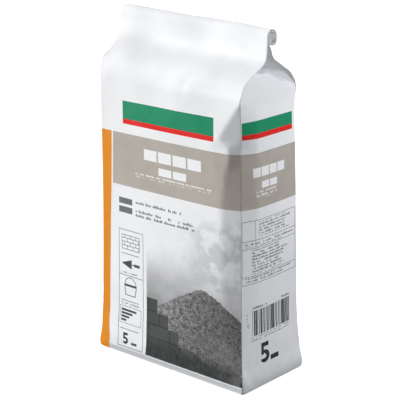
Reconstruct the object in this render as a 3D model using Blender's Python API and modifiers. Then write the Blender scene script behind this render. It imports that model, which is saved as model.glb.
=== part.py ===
"""A small filled cement bag: a gusseted paper sack with a block bottom and a rolled top, and its fill.

The sack is one sheet of paper. It stands on a flat rectangular bottom, its four walls rise to
shoulders, the front and back walls lean together over the tucked-in side gussets, and the
flattened mouth goes up as a fin that is rolled over to the back. Metres, +Z up, origin at the
centre of the bottom, the front wall facing -Y.
"""

import math

import bmesh
import bpy
from mathutils import Vector

# The paper, and how closely its four layers lie where the mouth is flattened
PAPER = 0.0004
LAYER_GAP = 0.00035
LAYER_PITCH = PAPER + LAYER_GAP
LAYERS = 4
OUTER_LAYER = 0.5 * (LAYERS - 1)
STACK_HALF = OUTER_LAYER * LAYER_PITCH
STACK_PITCH = LAYERS * LAYER_PITCH

# A level section cuts the leaning layers at a slant, so they lie further apart in it. They
# reach this distance at this share of flatness
LEANING_PITCH = 0.0017
LEANING_SHARE = 0.5

# The bottom, which the folded block bottom holds a little wider than the walls
BASE_HALF_WIDTH = 0.0902
BASE_HALF_DEPTH = 0.0437
BASE_EDGE_RADIUS = 0.0032
BASE_EDGE_STEPS = 3

# The walls and the leaning top: height, half width and half depth of the corners
STATIONS = (
    (0.0144, 0.0888, 0.0427),
    (0.0252, 0.0869, 0.0413),
    (0.0468, 0.0854, 0.0399),
    (0.1070, 0.0846, 0.0392),
    (0.1674, 0.0842, 0.0387),
    (0.2160, 0.0840, 0.0383),
    (0.2560, 0.0840, 0.0380),
    (0.2700, 0.0841, 0.0369),
    (0.2775, 0.0842, 0.0335),
    (0.2832, 0.0842, 0.0258),
    (0.2875, 0.0842, 0.0186),
    (0.2910, 0.0842, 0.0126),
    (0.2945, 0.0842, 0.0078),
    (0.2975, 0.0842, 0.0046),
    (0.3005, 0.0845, 0.0024),
)
GUSSET_HALF = 0.0380
WALL_CROWN = 0.0010

# The side walls stay upright well into the lean, and tuck in between these shares of flatness
TUCK_START = 0.22
TUCK_END = 0.66

# The rolled top
RIDGE_HEIGHT = 0.3240
ROLL_BOTTOM = 0.3050
FIN_HALF_WIDTH = 0.0850
FIN_FRONT_SHIFT = -0.0039
ARC_STEPS = 5

# The roundness of the sack's upright corners, and of the fold in the middle of a gusset
CORNER_FOLD = 0.0035
MIDDLE_FOLD = 0.0030
FLAT_FOLD = 0.0004
ARC_SAGITTA = 0.29
CORNER_LIMIT = 0.4
MIDDLE_LIMIT = 0.2

# How the top has settled, lower at its right end
RIDGE_DROP = 0.0060
SETTLE_START = 0.2500

# The fill, clear of the paper all round, and where it ends under the fin
FILL_CLEARANCE = 0.0003
FILL_DROP = 0.0008
FILL_TOP_HALF_DEPTH = 0.0090

# Where a wall has its points, as shares of its half width, and what counts as a sharp edge
PANEL_POINTS = (0.0, 0.38, 0.74)
SHARP_ANGLE = math.radians(40.0)


def clear_scene():
    for item in list(bpy.data.objects):
        bpy.data.objects.remove(item, do_unlink=True)


def material(name, colour, roughness):
    finish = bpy.data.materials.new(name)
    finish.use_nodes = True
    shader = finish.node_tree.nodes["Principled BSDF"]
    shader.inputs["Base Color"].default_value = (*colour, 1.0)
    shader.inputs["Roughness"].default_value = roughness
    shader.inputs["Metallic"].default_value = 0.0
    return finish


def mix(first, second, share):
    return first + (second - first) * share


def smooth_share(value, start, end):
    share = min(1.0, max(0.0, (value - start) / (end - start)))
    return share * share * (3.0 - 2.0 * share)


def flatness(half_depth):
    """0 where the sack is open to its full depth, 1 where the four layers lie flat."""
    share = (GUSSET_HALF - half_depth) / (GUSSET_HALF - STACK_HALF)
    return min(1.0, max(0.0, share))


def layer_step(half_depth):
    """How far apart two layers lie in a level section."""
    share = min(1.0, flatness(half_depth) / LEANING_SHARE)
    return min(half_depth / OUTER_LAYER, LEANING_PITCH * share)


def gusset_tuck(half_depth):
    """How far the middle of a gusset is folded in: its paper keeps its width."""
    reach = min(GUSSET_HALF, half_depth - OUTER_LAYER * layer_step(half_depth))
    share = smooth_share(flatness(half_depth), TUCK_START, TUCK_END)
    return share * math.sqrt(GUSSET_HALF ** 2 - reach ** 2)


def tuck_tip(half_depth):
    """How far the gusset's middle fold reaches in, its own roundness included."""
    return gusset_tuck(half_depth) + flatness(half_depth) * FLAT_FOLD


def ring(half_width, half_depth, tucked):
    """A level section of the sheet, anticlockwise from the middle of the front wall.

    Points are (across, through): across the width, and through the depth with the front
    negative. The two halves of a tucked gusset lie one layer inside the walls.
    """
    flat = flatness(half_depth) if tucked else 0.0
    layer = layer_step(half_depth) if tucked else 0.0
    tuck = gusset_tuck(half_depth) if tucked else 0.0
    corner = min(mix(CORNER_FOLD, FLAT_FOLD, flat), CORNER_LIMIT * half_depth)
    middle = min(mix(MIDDLE_FOLD, FLAT_FOLD, flat), MIDDLE_LIMIT * half_depth)
    sagitta = ARC_SAGITTA * corner * (1.0 - flat)
    gusset_front = Vector((half_width, layer - half_depth))
    gusset_middle = Vector((half_width - tuck, -0.5 * layer))
    along = (gusset_middle - gusset_front).normalized()

    quarter = []
    for share in PANEL_POINTS:
        crown = WALL_CROWN * (1.0 - flatness(half_depth)) * (1.0 - share ** 2)
        quarter.append(Vector((share * half_width, -half_depth - crown)))
    quarter.append(Vector((half_width - corner, -half_depth)))
    quarter.append(Vector((half_width - sagitta, 0.5 * layer - half_depth + sagitta)))
    quarter.append(gusset_front + along * corner)
    quarter.append(gusset_front.lerp(gusset_middle, 0.5))
    quarter.append(gusset_middle - along * middle)

    tip = Vector((half_width - (tuck_tip(half_depth) if tucked else 0.0), 0.0))
    right = quarter + [tip] + [Vector((point.x, -point.y)) for point in reversed(quarter)]
    left = [Vector((-point.x, point.y)) for point in reversed(right[1:-1])]
    return right + left


def inset(points, distance):
    """An anticlockwise ring moved in by a distance, with mitred corners."""
    inner = []
    for index, point in enumerate(points):
        before = (point - points[index - 1]).normalized()
        after = (points[(index + 1) % len(points)] - point).normalized()
        normal_before = Vector((-before.y, before.x))
        normal_after = Vector((-after.y, after.x))
        bisector = (normal_before + normal_after).normalized()
        inner.append(point + bisector * distance / bisector.dot(normal_after))
    return inner


def settle(point):
    """The slope of the finished top, growing from the walls to the ridge."""
    share = smooth_share(point.z, SETTLE_START, RIDGE_HEIGHT)
    point.z -= 0.5 * RIDGE_DROP * share * point.x / FIN_HALF_WIDTH
    return point


def level_section(points, height, half_depth):
    """A ring laid level at a height, moved to the front as the walls lean to the fin."""
    shift = FIN_FRONT_SHIFT * flatness(half_depth) ** 2
    return [settle(Vector((point.x, point.y + shift, height))) for point in points]


def wall_stations():
    """The stations, with one more on a smooth curve in the middle of each span."""
    stations = [STATIONS[0]]
    for index in range(1, len(STATIONS)):
        second, third = STATIONS[index - 1], STATIONS[index]
        first = STATIONS[max(0, index - 2)]
        fourth = STATIONS[min(len(STATIONS) - 1, index + 1)]
        between = [(9.0 * (b + c) - a - d) / 16.0 for a, b, c, d in zip(first, second, third, fourth)]
        stations += [between, third]
    return stations


def base_sections(edge_radius):
    """The rounded edge between the bottom and the walls."""
    sections = []
    for step in range(BASE_EDGE_STEPS + 1):
        angle = 0.5 * math.pi * step / BASE_EDGE_STEPS
        inward = BASE_EDGE_RADIUS - edge_radius * math.sin(angle)
        height = 0.5 * PAPER + BASE_EDGE_RADIUS - edge_radius * math.cos(angle)
        outline = inset(ring(BASE_HALF_WIDTH, BASE_HALF_DEPTH, False), inward)
        sections.append(level_section(outline, height, BASE_HALF_DEPTH))
    return sections


def roll_path():
    """The middle of the flattened mouth, from the fin up and round into the roll.

    Each entry is (through, height, direction), the direction being the angle of the path
    in the plane seen from the sack's right end, 90 degrees being up.
    """
    outer = 1.5 * STACK_PITCH
    under = 1.0 * STACK_PITCH
    inner = 0.5 * STACK_PITCH
    top = RIDGE_HEIGHT - outer - STACK_HALF - 0.5 * PAPER
    bottom = ROLL_BOTTOM + under + STACK_HALF + 0.5 * PAPER
    fin = FIN_FRONT_SHIFT
    path = [(fin, bottom - 0.5 * outer, 90.0), (fin, bottom, 90.0)]
    path += arc(fin + outer, top, outer, 180.0, 0.0)
    path += arc(fin + outer + inner, bottom, under, 0.0, -180.0)
    path += arc(fin + outer, top, inner, 180.0, 0.0)
    path += [(fin + outer + inner, bottom, -90.0)]
    return path


def arc(through, height, radius, start, end):
    """Points of a clockwise arc, each with the direction in which the path runs there."""
    points = []
    for step in range(ARC_STEPS + 1):
        angle = mix(start, end, step / ARC_STEPS)
        place = math.radians(angle)
        across = through + radius * math.cos(place)
        points.append((across, height + radius * math.sin(place), angle - 90.0))
    return points


def roll_sections():
    """The four layers of the flattened mouth, laid along the path of the roll."""
    layers = ring(FIN_HALF_WIDTH, STACK_HALF, True)
    sections = []
    for through, height, direction in roll_path():
        # The back of the stack lies to the right of the path.
        right = math.radians(direction - 90.0)
        section = []
        for point in layers:
            back, up = point.y * math.cos(right), point.y * math.sin(right)
            section.append(settle(Vector((point.x, through + back, height + up))))
        sections.append(section)
    return sections


def loft(name, sections, close_top, finish, collection):
    """A tube through the sections, made by extruding its first edge loop, with a flat bottom."""
    mesh_maker = bmesh.new()
    loop = [mesh_maker.verts.new(point) for point in sections[0]]
    edges = [mesh_maker.edges.new((loop[index - 1], vert)) for index, vert in enumerate(loop)]
    bottom = bmesh.ops.contextual_create(mesh_maker, geom=edges)["faces"]
    for section in sections[1:]:
        grown = bmesh.ops.extrude_edge_only(mesh_maker, edges=edges)["geom"]
        rising = {vert for vert in grown if isinstance(vert, bmesh.types.BMVert)}
        edges = [edge for edge in grown if isinstance(edge, bmesh.types.BMEdge) and set(edge.verts) <= rising]
        loop = [next(edge.other_vert(vert) for edge in vert.link_edges if edge.other_vert(vert) in rising)
                for vert in loop]
        for vert, point in zip(loop, section):
            vert.co = point
    if close_top:
        bmesh.ops.contextual_create(mesh_maker, geom=edges)
    bmesh.ops.recalc_face_normals(mesh_maker, faces=mesh_maker.faces)
    if bottom[0].normal.z > 0.0:
        bmesh.ops.reverse_faces(mesh_maker, faces=mesh_maker.faces)
    mesh = bpy.data.meshes.new(name)
    mesh_maker.to_mesh(mesh)
    mesh_maker.free()
    mesh.materials.append(finish)
    mesh.shade_smooth()
    mesh.set_sharp_from_angle(angle=SHARP_ANGLE)
    piece = bpy.data.objects.new(name, mesh)
    collection.objects.link(piece)
    return piece


def paper_sack(collection):
    """One sheet: bottom, walls, leaning top, fin and roll, open only at the mouth inside the roll."""
    sections = base_sections(BASE_EDGE_RADIUS)
    for height, half_width, half_depth in wall_stations():
        sections.append(level_section(ring(half_width, half_depth, True), height, half_depth))
    sections += roll_sections()
    finish = material("white_sack_paper", (0.83, 0.84, 0.85), 0.55)
    sack = loft("paper_sack", sections, False, finish, collection)
    wall = sack.modifiers.new("paper_thickness", "SOLIDIFY")
    wall.thickness = PAPER
    wall.offset = 0.0
    wall.use_even_offset = True
    return sack


def cement_fill(collection):
    """The powder. It fills the walls and ends in a heap between the two tucked gussets."""
    clearance = 0.5 * PAPER + FILL_CLEARANCE
    sections = base_sections(BASE_EDGE_RADIUS - clearance)
    for height, half_width, half_depth in wall_stations():
        if half_depth < FILL_TOP_HALF_DEPTH:
            break
        outline = ring(half_width - tuck_tip(half_depth), half_depth, False)
        sections.append(level_section(inset(outline, clearance), height - FILL_DROP, half_depth))
    finish = material("cement_powder", (0.36, 0.36, 0.35), 0.95)
    return loft("cement_fill", sections, True, finish, collection)


def main():
    clear_scene()
    collection = bpy.data.collections.new("cement_bag")
    bpy.context.scene.collection.children.link(collection)
    paper_sack(collection)
    cement_fill(collection)


main()
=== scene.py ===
"""The looks of a small filled cement bag: a folded and printed paper sack on a pale studio floor.

The sack is modelled as one flat sheet of paper. The sheet is laid round the filled body, tucked in
at its gussets, rolled over at the top and lapped along the back, and the print is placed on it in
the flat, in metres round the sheet and up it. Metres, +Z up, the front wall facing -Y.
"""

import math

import bpy
import numpy as np
from mathutils import Matrix, Vector, noise


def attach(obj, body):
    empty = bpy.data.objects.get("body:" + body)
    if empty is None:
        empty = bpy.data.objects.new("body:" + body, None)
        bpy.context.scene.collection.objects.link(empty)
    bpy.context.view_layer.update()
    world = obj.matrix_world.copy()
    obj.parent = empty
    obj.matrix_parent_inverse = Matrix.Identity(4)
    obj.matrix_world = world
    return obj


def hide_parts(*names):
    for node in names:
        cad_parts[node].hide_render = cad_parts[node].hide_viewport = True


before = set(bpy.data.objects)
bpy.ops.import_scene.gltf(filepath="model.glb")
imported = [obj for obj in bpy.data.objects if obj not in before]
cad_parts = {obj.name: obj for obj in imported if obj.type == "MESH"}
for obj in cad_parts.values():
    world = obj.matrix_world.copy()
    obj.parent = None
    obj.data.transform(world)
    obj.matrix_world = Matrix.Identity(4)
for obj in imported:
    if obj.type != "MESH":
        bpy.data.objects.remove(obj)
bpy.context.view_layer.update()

MM = 0.001

# The flat sheet: half of the front wall, half of a gusset, and the lap at the back with the
# thicknesses of paper that it stands off the wall under it
HALF_FRONT = 84.2 * MM
HALF_GUSSET = 38.5 * MM
GUSSET_THIRD = 2 * HALF_GUSSET / 3
LAP = 12 * MM
LAP_LIFT = 1.3
SIDE_MIDDLE = HALF_FRONT + HALF_GUSSET
BACK_CORNER = HALF_FRONT + 2 * HALF_GUSSET
BACK_SEAM = 2 * HALF_FRONT + 2 * HALF_GUSSET

# The paper, and how closely its layers lie in the flattened mouth
PAPER = 0.3 * MM
LAYER_PITCH = 0.72 * MM
PAIR_PITCH = 0.46 * MM
FOLD_RADIUS = 0.4 * MM
FOLD_SUPPORT = 0.7 * MM
FOLD_SOFTNESS = 1.2 * MM
MOUTH_CORNER = 0.5 * MM
STACK_HALF = 1.5 * LAYER_PITCH

# Half the depth of a section whose layers lie flat, and of one that stands open
FLAT_TO_OPEN = (4 * MM, 30 * MM)

# The walls at the right end: height, half width, place of the front corner and of the back corner
RIGHT_END = (
    (7, 90.3, -43.9, 43.7), (14, 88.8, -42.7, 43), (25, 86.9, -41.3, 42), (47, 85.4, -39.9, 40.6),
    (65, 85, -39.5, 39.7), (107, 84.6, -39.2, 38.8), (161, 84.2, -38.8, 37.6), (216, 84, -38.6, 35.6),
    (236, 84, -38.9, 34.7), (249, 84, -39.4, 34.2), (258, 84, -39.9, 35.2), (264, 84, -40, 36.8),
    (272, 84.1, -37.6, 35), (278.5, 84.2, -34.6, 30.2), (282.1, 84.2, -29.7, 27.2),
    (285, 84.2, -24.3, 22.6), (287.7, 84.2, -19.1, 18.6), (290.3, 84.2, -13.9, 14.8),
    (293.9, 84.3, -8.9, 9.6), (297.2, 84.5, -6.2, 4.8), (302, 84.8, -5.4, 2), (305.5, 85, -5.1, 0.9),
    (308, 85, -5, -0.4), (311, 85, -4.9, -2.3),
)
LEFT_END = (
    (7, 90.3, -43.9, 43.7), (14, 88.8, -42.7, 42.7), (25, 86.9, -41.3, 41.3), (47, 85.4, -39.9, 39.9),
    (107, 84.6, -39.2, 39.2), (161, 84.2, -38.8, 38.8), (216, 84, -38.4, 38.4), (256, 84, -38.4, 38.2),
    (266, 84, -38.3, 37.4), (275, 84.1, -37, 34.5), (282.1, 84.2, -33.6, 28),
    (287.8, 84.2, -24.8, 18.8), (292.1, 84.3, -18, 11.6), (297.4, 84.6, -11, 4.6),
    (302, 84.8, -7.4, 0.8), (306, 85, -5.8, -1), (311, 85, -4.6, -2.6),
)

# How each side folds in under the leaning top. A section of it runs from the front corner by two
# folds to the back corner: height, then the place and the depth of the front fold and of the back one
RIGHT_TUCK = (
    (256, -13, 0, 12, 0), (262, 6, 0, 30, 0), (267, 30, 0, 35, 0.4), (270, 29, 0.2, 31.8, 3.6),
    (273.5, 20, 0.3, 26, 8), (276.3, 12.2, 0.3, 18.6, 12), (281.5, 2.2, 0.6, 10, 17),
    (284.3, -2, 0.8, 7.5, 20), (286.2, -15, 3, 8.6, 22.5), (288.8, -13, 14, 5, 29),
    (290.5, -10.5, 21, 1.2, 30.6), (294, -6.4, 28, -1, 32.6), (299, -4.2, 34, -1.6, 35.4),
    (305, -3.7, 37, -2.9, 37.3), (311, -3.9, 38, -3.3, 38),
)
LEFT_TUCK = (
    (256, -13, 0, 13, 0), (264, -30, 0, 30, 0), (270, -32, 0.4, 31, 0.4), (276, -31.5, 4, 29.5, 4),
    (282, -26.5, 8.6, 22.5, 9), (288, -17.6, 14.2, 12.6, 14.6), (292, -11.4, 20, 6, 21),
    (297.4, -5.8, 29, -0.6, 30), (302, -4.2, 35, -2.6, 35.6), (306, -3.9, 37.3, -3.2, 37.4),
    (311, -3.9, 38, -3.3, 38),
)
TUCK_START = 256 * MM

# The middle of the flattened mouth is tight where its ends still gape
FIN_PLACE = -3.6 * MM
PINCH_RISE = (286 * MM, 304 * MM)

# The rolled top
RIDGE_HEIGHT = 324 * MM
ROLL_BOTTOM = 309 * MM
ROLL_PITCH = 3.5 * MM
FIN_START = 311 * MM
FIN_HALF_WIDTH = 85 * MM
RIDGE_DROP = 6 * MM
SETTLE_START = 250 * MM

# The rounded edge of the bottom, and how far the walls' paper runs under it
EDGE_RISE = 4 * MM
EDGE_REACH = 1.8 * MM
UNDER_REACH = 14 * MM
EDGE_ANGLES = (0, 22.5, 45, 67.5)
BASE_CORNER = 3.2 * MM
BASE_CORNER_RISE = (4 * MM, 26 * MM)

# The sheet pasted over the folded bottom, on which the sack stands
PATCH_HALF_WIDTH = 80.5 * MM
PATCH_HALF_DEPTH = 34.5 * MM
PATCH_CORNER = 4 * MM
UNDER_LIFT = 1.9 * PAPER

# The powder inside: how far it stays off the middle of the paper, and its heap under the leaning top
POWDER_CLEARANCE = 0.5 * MM
POWDER_SHOULDER = 255 * MM
POWDER_HEAP = 24 * MM
POWDER_END_SLOPE = 0.3
BOTTOM_ROW = 2

# How finely the sheet is divided
FRONT_COLUMNS = 72
CORNER_COLUMNS = 6
FLAP_COLUMNS = 10
LAP_COLUMNS = 4
WALL_STEP = 3.2 * MM
SHOULDER_START = 196 * MM
SHOULDER_STEP = 2 * MM
TOP_STEP = 1.5 * MM
ROLL_STEP = 1.3 * MM


def share_between(value, start, end):
    """0 before start, 1 after end, and smooth between them."""
    share = np.clip((np.asarray(value, float) - start) / (end - start), 0, 1)
    return share * share * (3 - 2 * share)


def mix(first, second, share):
    """Part of the way from first to second."""
    return first + (second - first) * share


def read_table(table, heights):
    """A table in millimetres, read in metres at any heights on a smooth curve that never overshoots."""
    rows = np.array(table) * MM
    places, values = rows[:, 0], rows[:, 1:]
    slopes = np.diff(values, axis=0) / np.diff(places)[:, None]
    product = slopes[:-1] * slopes[1:]
    total = slopes[:-1] + slopes[1:]
    inner = np.where(product > 0, 2 * product / np.where(product > 0, total, 1), 0)
    tangents = np.vstack([slopes[:1], inner, slopes[-1:]])
    heights = np.clip(heights, places[0], places[-1])
    index = np.clip(np.searchsorted(places, heights) - 1, 0, len(places) - 2)
    span = (places[index + 1] - places[index])[:, None]
    t = (heights - places[index])[:, None] / span
    low, high = values[index], values[index + 1]
    return (low * (1 + 2 * t) * (1 - t) ** 2 + high * t * t * (3 - 2 * t)
            + span * (tangents[index] * t * (1 - t) ** 2 - tangents[index + 1] * t * t * (1 - t)))


def rounded_corner(before, corner, after, steps):
    """Points on a soft corner from one run to the next, its ends left out."""
    t = np.linspace(0, 1, steps + 2)[1:-1, None]
    return before * (1 - t) ** 2 + corner * 2 * t * (1 - t) + after * t * t


def towards(start, end, distance):
    """The point at a distance from start on the way to end."""
    way = end - start
    return start + way * (distance / max(1e-9, float(np.hypot(*way))))


def close_ends(steps, close):
    """Even shares from 0 to 1, but with a short first and last step, which hold a fold tight."""
    return np.concatenate([[0], np.linspace(close, 1 - close, steps - 1), [1]])


# Where the columns lie: on the front wall from -1 to 1, and on a third of a gusset from 0 to 1
FRONT_SHARES = 2 * close_ends(FRONT_COLUMNS, 0.5 * FOLD_SUPPORT / HALF_FRONT) - 1
FLAP_SHARES = close_ends(FLAP_COLUMNS, FOLD_SUPPORT / GUSSET_THIRD)


def gusset(wall_ends, corners, folds, corner, layer):
    """One side of a level section, from the end of the front wall to the start of the back wall.

    Points are (across, through) for a side that faces +X. corner is how far its fold is soft, and
    layer is how far the side's own layers keep off the front and back walls where all lie flat.
    """
    stops = [corners[0] + np.array((0, layer)), *folds, corners[1] - np.array((0, layer))]
    lengths = [float(np.hypot(*(after - before))) for before, after in zip(stops, stops[1:])]
    softness = [min(corner, 0.4 * lengths[0]), min(FOLD_SOFTNESS, 0.3 * min(lengths[:2])),
                min(FOLD_SOFTNESS, 0.3 * min(lengths[1:])), min(corner, 0.4 * lengths[2])]
    run = FLAP_SHARES[:, None]
    leaving = [towards(stops[i], stops[i + 1], softness[i]) for i in range(3)]
    coming = [towards(stops[i + 1], stops[i], softness[i + 1]) for i in range(3)]
    front = rounded_corner(wall_ends[0], 0.5 * (corners[0] + stops[0]), leaving[0], CORNER_COLUMNS - 1)
    back = rounded_corner(coming[2], 0.5 * (corners[1] + stops[3]), wall_ends[1], CORNER_COLUMNS - 1)
    parts = [front, mix(leaving[0], coming[0], run)]
    for index in (1, 2):
        parts.append(rounded_corner(coming[index - 1], stops[index], leaving[index], 1))
        parts.append(mix(leaving[index], coming[index], run))
    return np.vstack(parts + [back])


def level_section(right, left, tucks, corner, layer, pinch):
    """A level section of the sheet, from the back seam round by the left side to the lap.

    right and left are (half width, front place, back place) at each end, and tucks are the two folds
    there. pinch, from 0 to 1, draws the middles of the walls together as in the flattened mouth.
    """
    half_width = right[0]
    reach = half_width - corner

    def wall(shares, which, side):
        mid = FIN_PLACE + side * STACK_HALF
        ends = np.where(shares > 0, right[which], left[which])
        level = mix(right[which], left[which], 0.5 - 0.5 * shares)
        ease = share_between(np.abs(shares), 0.45, 1)
        tight = mix(mid, ends, ease)
        return np.column_stack([shares * reach, mix(level, tight, pinch)])

    back_shares = FRONT_SHARES[FRONT_COLUMNS // 2:]
    lap_shares = -np.linspace(0, LAP / HALF_FRONT, LAP_COLUMNS + 1)[1:]
    front_wall = wall(FRONT_SHARES, 1, -1)
    back_right = wall(back_shares[::-1], 2, 1)
    back_left = wall(-back_shares, 2, 1)
    lapped = wall(lap_shares, 2, 1)

    sides = []
    for end, tuck, mirror in ((right, tucks[0], 1), (left, tucks[1], -1)):
        flip = np.array((mirror, 1))
        corners = [np.array((half_width, end[1])), np.array((half_width, end[2]))]
        folds = [np.array((half_width - depth, place)) for place, depth in (tuck[:2], tuck[2:])]
        wall_ends = (front_wall[-1], back_right[0]) if mirror > 0 else (front_wall[0], back_left[-1])
        side = gusset([point * flip for point in wall_ends], corners, folds, corner, layer)
        sides.append(side * flip)
    return np.vstack([back_left, sides[1][::-1], front_wall, sides[0], back_right, lapped])


def even_folds(end):
    """The two folds of a side where it is flat: on its thirds."""
    return np.array((mix(end[1], end[2], 1 / 3), 0, mix(end[1], end[2], 2 / 3), 0))


def sheet_columns():
    """How far round the flat sheet each column lies."""
    corner, fold, third = FOLD_RADIUS, FOLD_SOFTNESS, GUSSET_THIRD
    front = FRONT_SHARES * (HALF_FRONT - corner)
    turn = np.linspace(-corner, corner, CORNER_COLUMNS + 1)[1:-1]
    runs = [(corner, third - fold), (third + fold, 2 * third - fold),
            (2 * third + fold, 3 * third - corner)]
    flaps = [HALF_FRONT + mix(start, end, FLAP_SHARES) for start, end in runs]
    side = np.concatenate([HALF_FRONT + turn, flaps[0], [HALF_FRONT + third], flaps[1],
                           [HALF_FRONT + 2 * third], flaps[2], BACK_CORNER + turn])
    back = BACK_SEAM - front[FRONT_COLUMNS // 2:][::-1]
    lap = BACK_SEAM + np.linspace(0, LAP, LAP_COLUMNS + 1)[1:]
    return np.concatenate([-back[::-1], -side[::-1], front, side, back, lap])


def settle(points):
    """The slope of the finished top, growing from the walls to the ridge."""
    share = share_between(points[:, 2], SETTLE_START, RIDGE_HEIGHT)
    points[:, 2] -= 0.5 * RIDGE_DROP * share * points[:, 0] / FIN_HALF_WIDTH
    return points


def at_height(outline, height):
    return np.column_stack([outline, np.full(len(outline), height)])


def base_rows():
    """The sheet's first rows: under the bottom, and round its edge."""
    right, left = (read_table(table, [EDGE_RISE])[0] for table in (RIGHT_END, LEFT_END))
    places = [(UNDER_REACH, UNDER_LIFT), (0.5 * (UNDER_REACH + EDGE_REACH), UNDER_LIFT)]
    for angle in np.radians(EDGE_ANGLES):
        places.append((EDGE_REACH * (1 - math.sin(angle)), mix(EDGE_RISE, UNDER_LIFT, math.cos(angle))))
    rows = []
    for inward, height in places:
        smaller = np.array((-inward, inward, -inward))
        ends = (right + smaller, left + smaller)
        outline = level_section(*ends, [even_folds(end) for end in ends], BASE_CORNER, 0, 0)
        rows.append(at_height(outline, height))
    return rows


def wall_rows():
    """The walls and the leaning top, up to the start of the fin."""
    heights = np.concatenate([np.arange(EDGE_RISE, SHOULDER_START, WALL_STEP),
                              np.arange(SHOULDER_START, TUCK_START, SHOULDER_STEP),
                              np.arange(TUCK_START, FIN_START, TOP_STEP)])
    tables = [read_table(table, heights) for table in (RIGHT_END, LEFT_END, RIGHT_TUCK, LEFT_TUCK)]
    rows = []
    for height, right, left, right_tuck, left_tuck in zip(heights, *tables):
        depth = 0.5 * (right[2] - right[1])
        flat = 1 - share_between(depth, *FLAT_TO_OPEN)
        corner = mix(BASE_CORNER, FOLD_RADIUS, share_between(height, *BASE_CORNER_RISE))
        corner = mix(min(corner, 0.3 * depth), MOUTH_CORNER, flat)
        pinch = share_between(height, *PINCH_RISE)
        tucked = share_between(height, TUCK_START - WALL_STEP, TUCK_START + WALL_STEP)
        tucks = (mix(even_folds(right), right_tuck, tucked), mix(even_folds(left), left_tuck, tucked))
        outline = level_section(right, left, tucks, corner, PAIR_PITCH * flat, pinch)
        rows.append(settle(at_height(outline, height)))
    return rows


def arc_points(through, height, radius, start, end):
    """Points of a clockwise arc with the direction of travel, seen from the sack's right end."""
    steps = max(4, int(abs(end - start) / 180 * math.pi * radius / ROLL_STEP))
    angles = np.linspace(start, end, steps + 1)
    place = np.radians(angles)
    return list(zip(through + radius * np.cos(place), height + radius * np.sin(place), angles - 90))


def straight_points(through, start, end, direction):
    """Points of an upright run between two heights, its ends left out."""
    steps = max(2, int(abs(end - start) / (2 * ROLL_STEP)))
    return [(through, height, direction) for height in np.linspace(start, end, steps + 1)[1:-1]]


def roll_path():
    """The middle of the flattened mouth: up the fin, over to the back, under, and up and over inside."""
    outer, under, inner = 1.5 * ROLL_PITCH, ROLL_PITCH, 0.5 * ROLL_PITCH
    top = RIDGE_HEIGHT - outer - STACK_HALF - 0.5 * PAPER
    bottom = ROLL_BOTTOM + under + STACK_HALF + 0.5 * PAPER
    centre = FIN_PLACE + outer
    path = [(FIN_PLACE, FIN_START, 90)] + straight_points(FIN_PLACE, FIN_START, top, 90)
    path += arc_points(centre, top, outer, 180, 0)
    path += straight_points(centre + outer, top, bottom, -90)
    path += arc_points(centre + inner, bottom, under, 0, -180)
    path += straight_points(centre - inner, bottom, top, 90)
    path += arc_points(centre, top, inner, 180, 0)
    path += straight_points(centre + inner, top, bottom, -90) + [(centre + inner, bottom, -90)]
    return path


def roll_rows():
    """The four layers of the flattened mouth, laid along the path of the roll."""
    flat_end = np.array((FIN_HALF_WIDTH, -STACK_HALF, STACK_HALF))
    depth = HALF_GUSSET - MOUTH_CORNER
    tuck = (-0.5 * LAYER_PITCH, depth, 0.5 * LAYER_PITCH, depth)
    layers = level_section(flat_end, flat_end, (tuck, tuck), MOUTH_CORNER, PAIR_PITCH, 0)
    rows = []
    for through, height, direction in roll_path():
        right = math.radians(direction - 90)
        row = np.column_stack([layers[:, 0], through + layers[:, 1] * math.cos(right),
                               height + layers[:, 1] * math.sin(right)])
        rows.append(settle(row))
    return rows


def folded_sheet():
    """Every point of the folded sheet, by row and column, with its place on the flat sheet."""
    base = base_rows()
    points = np.array(base + wall_rows() + roll_rows())
    steps = np.linalg.norm(np.diff(points[:, FRONT_COLUMNS], axis=0), axis=1)
    up_it = np.concatenate([[0], np.cumsum(steps)])
    up_it += EDGE_RISE - up_it[len(base)]
    return points, sheet_columns(), up_it


def sheet_normals(points):
    """Unit normals of the sheet at its points, facing out of the sack."""
    across = np.gradient(points, axis=1)
    along = np.gradient(points, axis=0)
    normals = np.cross(across, along)
    length = np.linalg.norm(normals, axis=2, keepdims=True)
    return normals / np.maximum(length, 1e-12)


# What the filling and the handling did to the paper. Places on the sheet are in millimetres round
# it and up it, and heights of the relief are in millimetres outwards. A spot is its middle, its reach
# round and up, and its height. A fold is a line from end to end, its reach to each side and its
# height, and a crease is the same with one reach
CROWN = 1.1
CROWN_RISE = (6, 40)
CROWN_FADE = (215, 262)
WALL_WAVES = 0.17
WALL_WAVE_SIZE = 46 * MM
SHOULDER_WAVES = 0.09
SHOULDER_WAVE_SIZE = 27 * MM
SHOULDER_RISE = (205, 265)
FREE_PAPER = (284 * MM, 304 * MM)
SOFT_SPOTS = (
    (40, 317, 6, 5, -0.7), (-76, 291, 8, 9, -0.4), (52, 262, 22, 16, 0.1), (-60, 268, 30, 22, -0.25),
    (95, 152, 9, 26, -0.4), (148, 58, 14, 22, -0.5), (-120, 120, 16, 40, -0.5),
    (215, 235, 24, 18, -0.8), (-205, 140, 26, 34, -0.6),
)
SOFT_FOLDS = (
    (33, 291, 46, 322, 22, 17, 0.5), (19, 273, 33, 291, 22, 17, 0.7), (15, 247, 19, 273, 20, 15, 0.6),
    (44, 286, 56, 306, 6, 6, 0.25), (-64, 322, -48, 346, 5, 12, -0.3),
    (-33, 288, -27, 322, 6, 13, -0.3), (-38, 260, -60, 296, 9, 9, 0.2),
    (232, 262, 206, 316, 7, 14, -1.1), (179, 246, 188, 300, 6, 10, -0.9),
    (-212, 268, -232, 318, 7, 12, -1), (-176, 250, -186, 296, 6, 9, -0.7),
    (156.4, 290, 158, 271, 1.6, 4, -1.5),
)
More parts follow.
